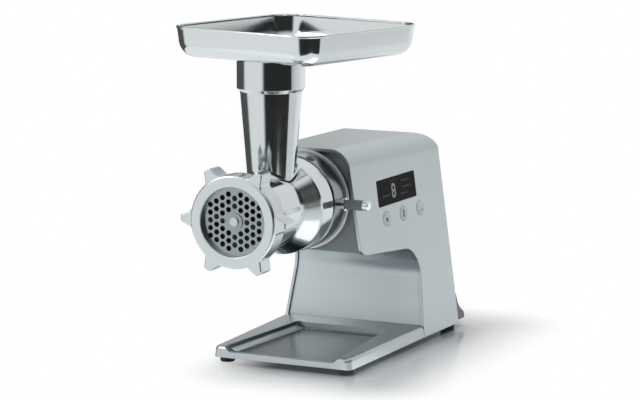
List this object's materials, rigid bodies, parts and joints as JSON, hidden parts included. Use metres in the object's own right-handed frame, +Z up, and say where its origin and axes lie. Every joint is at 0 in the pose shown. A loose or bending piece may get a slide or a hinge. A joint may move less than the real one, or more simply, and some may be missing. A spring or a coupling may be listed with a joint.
{
  "type": "electric meat grinder",
  "caption": "Countertop electric meat grinder with a C-shaped housing, side display and buttons, a pull-off grinder head, ring nut, perforated plate and a square food tray.",
  "frame": {"origin": "middle of the whole object's outline, on the plane that the feet stand on", "axes": "+Z up, +Y from the grinding plate to the back of the housing along the auger, +X to the side with the display"},
  "size_m": [0.1734, 0.317, 0.284],
  "materials": {
    "satin_alloy": "fine brushed, satin silver grey",
    "face_alloy": "satin, darker grey",
    "polished_alloy": "polished cast alloy",
    "cast_alloy": "bare casting",
    "satin_cast": "tumbled satin casting",
    "bright_trim": "bright plated",
    "polished_steel": "ground and polished",
    "tool_steel": "ground face",
    "tray_steel": "polished pressed sheet",
    "motor_steel": "zinc plated",
    "drip_metal": "dark grey, glossy",
    "foot_rubber": "matt black",
    "black_rubber": "matt black",
    "dark_plastic": "moulded, fine grain",
    "black_plastic": "moulded",
    "black_glass": "gloss black window",
    "button_plastic": "light grey, satin",
    "board_green": "circuit board",
    "nylon": "natural nylon",
    "bronze": "sintered bronze",
    "copper": "turned copper",
    "ferrite": "sintered ferrite",
    "core_iron": "laminated iron",
    "carbon": "pressed carbon"
  },
  "bodies": {
    "housing": {"base_frame": "satin_alloy", "rubber_feet": "foot_rubber", "main_shell": "satin_alloy", "front_fascia": "face_alloy", "column_panel": "satin_alloy", "back_cover": "dark_plastic", "cord_inlet": "black_rubber", "socket_collar": "polished_alloy", "trim_ring": "bright_trim", "lock_bush": "polished_steel", "display_window": "black_glass", "display_panel": "black_plastic", "control_board": "board_green", "board_spacers": "nylon", "gearbox_case": "cast_alloy", "gearbox_cover": "cast_alloy", "output_bush": "bronze", "lay_axle": "polished_steel", "motor_front_bracket": "cast_alloy", "motor_rear_bracket": "cast_alloy", "motor_bearings": "bronze", "motor_can": "motor_steel", "field_magnets": "ferrite", "carbon_brushes": "carbon", "brush_holders": "bronze"},
    "output": {"drive_socket": "polished_steel", "output_gear": "nylon"},
    "lay": {"lay_gear": "nylon"},
    "armature": {"armature_shaft": "polished_steel", "armature_core": "core_iron", "commutator": "copper", "cooling_fan": "black_plastic"},
    "head": {"grinder_barrel": "polished_alloy", "barrel_bush": "bronze"},
    "feed_screw": {"auger": "cast_alloy", "thrust_washer": "nylon", "knife": "tool_steel"},
    "plate": {"grinding_plate": "tool_steel"},
    "ring": {"ring_nut": "satin_cast"},
    "tray": {"food_tray": "tray_steel"},
    "drip": {"drip_plate": "drip_metal"},
    "lock": {"lock_pin": "polished_steel", "lock_grip": "dark_plastic", "lock_cap": "bright_trim"},
    "front_button": {"button_front": "button_plastic"},
    "middle_button": {"button_middle": "button_plastic"},
    "rear_button": {"button_rear": "button_plastic"}
  },
  "joints": [
    {"name": "output_spin", "type": "hinge", "parent": "housing", "child": "output", "pos_m": [-0.00787, -0.1585, 0.1364], "axis": [0, -1, 0], "continuous": true},
    {"name": "lay_spin", "type": "hinge", "parent": "housing", "child": "lay", "pos_m": [-0.02663, -0.1585, 0.12065], "axis": [0, -1, 0], "continuous": true},
    {"name": "armature_spin", "type": "hinge", "parent": "housing", "child": "armature", "pos_m": [-0.00787, -0.1585, 0.1364], "axis": [0, -1, 0], "continuous": true},
    {"name": "head_pull", "type": "slide", "parent": "housing", "child": "head", "axis": [0, -1, 0], "range_m": [0, 0.055]},
    {"name": "auger_spin", "type": "hinge", "parent": "head", "child": "feed_screw", "pos_m": [-0.00787, -0.1585, 0.1364], "axis": [0, -1, 0], "continuous": true},
    {"name": "plate_slide", "type": "slide", "parent": "head", "child": "plate", "axis": [0, -1, 0], "range_m": [0, 0.009]},
    {"name": "ring_turn", "type": "hinge", "parent": "plate", "child": "ring", "pos_m": [-0.00787, -0.1585, 0.1364], "axis": [0, -1, 0], "range_deg": [0, 1080]},
    {"name": "tray_lift", "type": "slide", "parent": "head", "child": "tray", "axis": [0, 0, 1], "range_m": [0, 0.06]},
    {"name": "drip_plate_lift", "type": "slide", "parent": "housing", "child": "drip", "axis": [0, 0, 1], "range_m": [0, 0.03]},
    {"name": "lock_pull", "type": "slide", "parent": "housing", "child": "lock", "axis": [1, 0, 0], "range_m": [0, 0.005], "stiffness_N_per_m": 400},
    {"name": "front_button_press", "type": "slide", "parent": "housing", "child": "front_button", "axis": [-0.99, 0.0412, -0.1346], "range_m": [0, 0.0012], "stiffness_N_per_m": 500},
    {"name": "middle_button_press", "type": "slide", "parent": "housing", "child": "middle_button", "axis": [-0.99, 0.0412, -0.1346], "range_m": [0, 0.0012], "stiffness_N_per_m": 500},
    {"name": "rear_button_press", "type": "slide", "parent": "housing", "child": "rear_button", "axis": [-0.99, 0.0412, -0.1346], "range_m": [0, 0.0012], "stiffness_N_per_m": 500}
  ],
  "couplings": [
    {"joint": "lay_spin", "follows": "output_spin", "ratio": -4},
    {"joint": "armature_spin", "follows": "output_spin", "ratio": 16},
    {"joint": "auger_spin", "follows": "output_spin", "ratio": 1},
    {"joint": "plate_slide", "follows": "ring_turn", "m_per_rad": 0.000477}
  ]
}
